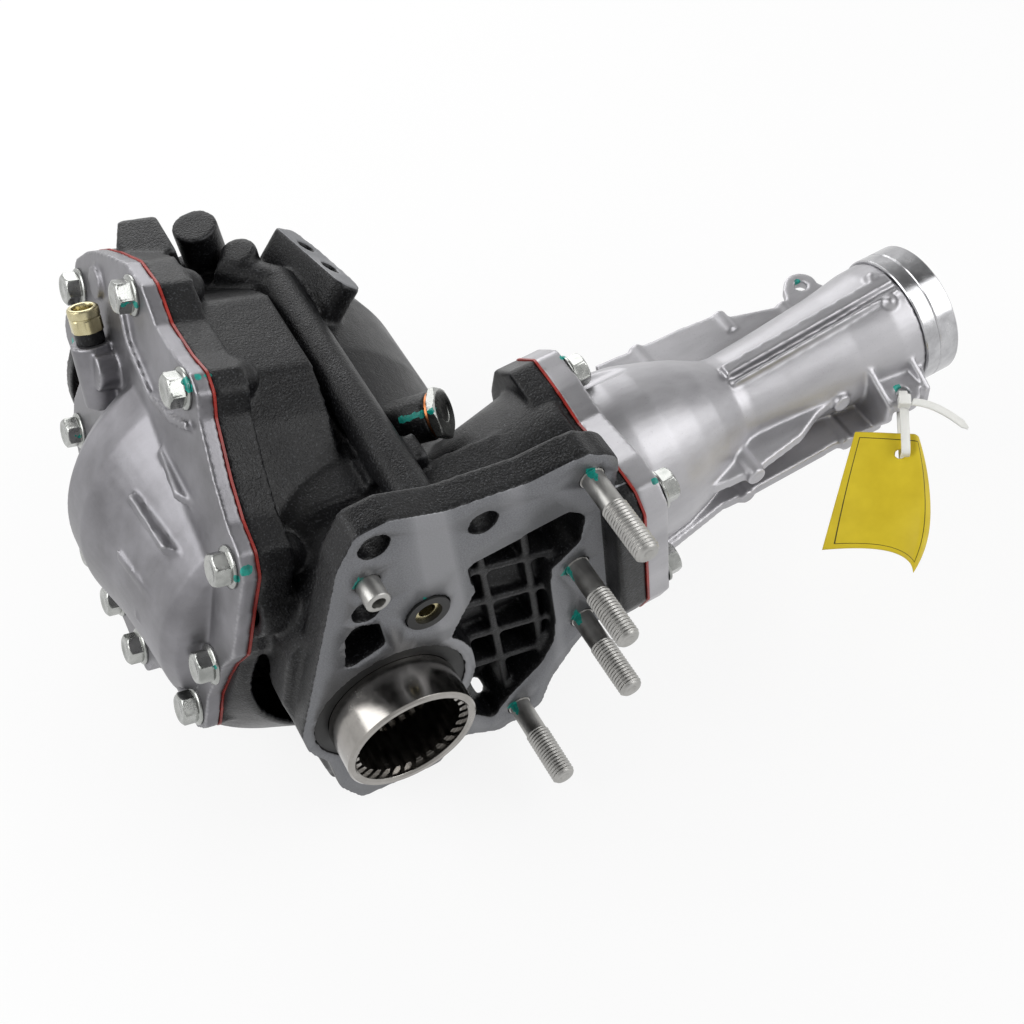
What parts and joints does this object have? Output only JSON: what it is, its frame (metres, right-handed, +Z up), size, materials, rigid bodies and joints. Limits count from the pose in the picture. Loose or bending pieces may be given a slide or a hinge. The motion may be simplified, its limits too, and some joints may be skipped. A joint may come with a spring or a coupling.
{
  "type": "transfer case",
  "caption": "Transverse power take-off unit: black cast case with splined input sleeve, bolted side cover, viscous drum, hypoid gears and a finned aluminium output extension.",
  "frame": {"origin": "centre of the input sleeve in the plane of the mounting face", "axes": "+X along the output shaft towards the slip yoke opening, -Y out of the mounting face along the studs, +Z up"},
  "size_m": [0.4375, 0.3321, 0.2358],
  "materials": {
    "case_black": "satin black paint over cast metal",
    "cover_cast": "die-cast, fine grain",
    "extension_cast": "die-cast, fine grain",
    "turned_ring": "turned",
    "bronze_bush": "bored",
    "seal_rubber": "matt",
    "machined_steel": "machined",
    "carrier_iron": "cast and turned",
    "gear_steel": "cut and lapped",
    "spacer_steel": "pressed",
    "drum_steel": "turned",
    "plate_steel": "stamped",
    "zinc_steel": "zinc plated",
    "stud_steel": "rolled thread",
    "black_steel": "black oxide",
    "bearing_steel": "ground",
    "red_sealant": "cured sealant",
    "gold_zinc": "yellow passivated zinc",
    "copper_washer": "annealed",
    "white_nylon": "moulded",
    "yellow_card": "coated card"
  },
  "bodies": {
    "case": {"main_case": "case_black", "side_cover": "cover_cast", "extension": "extension_cast", "end_ring": "turned_ring", "yoke_bush": "bronze_bush", "tail_seal": "seal_rubber", "side_retainer": "case_black", "input_seal": "seal_rubber", "rear_seal": "seal_rubber", "cover_sealant": "red_sealant", "joint_sealant": "red_sealant", "cover_bolts": "zinc_steel", "joint_bolts": "zinc_steel", "retainer_bolts": "zinc_steel", "studs": "stud_steel", "dowel": "stud_steel", "gallery_seal": "seal_rubber", "gallery_insert": "gold_zinc", "level_plug": "zinc_steel", "level_plug_washer": "copper_washer", "filler_plug": "gold_zinc", "filler_collar": "case_black", "cable_tie": "white_nylon", "tag": "yellow_card", "front_bearing_cup": "bearing_steel", "rear_bearing_cup": "bearing_steel", "head_bearing_cup": "bearing_steel", "tail_bearing_cup": "bearing_steel"},
    "input_train": {"input_sleeve": "machined_steel", "ring_carrier": "carrier_iron", "ring_gear": "gear_steel", "ring_bolts": "black_steel", "coupling_drum": "drum_steel", "outer_plates": "plate_steel", "front_bearing_cone": "bearing_steel", "rear_bearing_cone": "bearing_steel", "front_bearing_rollers": "bearing_steel", "rear_bearing_rollers": "bearing_steel"},
    "output_train": {"pinion_shaft": "gear_steel", "pinion_shim": "spacer_steel", "crush_spacer": "spacer_steel", "pinion_nut": "zinc_steel", "head_bearing_cone": "bearing_steel", "tail_bearing_cone": "bearing_steel", "head_bearing_rollers": "bearing_steel", "tail_bearing_rollers": "bearing_steel"},
    "viscous_hub": {"coupling_hub": "machined_steel", "inner_plates": "plate_steel"}
  },
  "joints": [
    {"name": "input_turn", "type": "hinge", "parent": "case", "child": "input_train", "pos_m": [0, 0.05, 0], "axis": [0, 1, 0], "continuous": true},
    {"name": "output_turn", "type": "hinge", "parent": "case", "child": "output_train", "pos_m": [0.1, 0.048, 0.02], "axis": [1, 0, 0], "continuous": true},
    {"name": "hub_turn", "type": "hinge", "parent": "input_train", "child": "viscous_hub", "pos_m": [0, 0.16, 0], "axis": [0, 1, 0], "continuous": true}
  ],
  "couplings": [
    {"joint": "output_turn", "follows": "input_turn", "ratio": -3.0833}
  ]
}
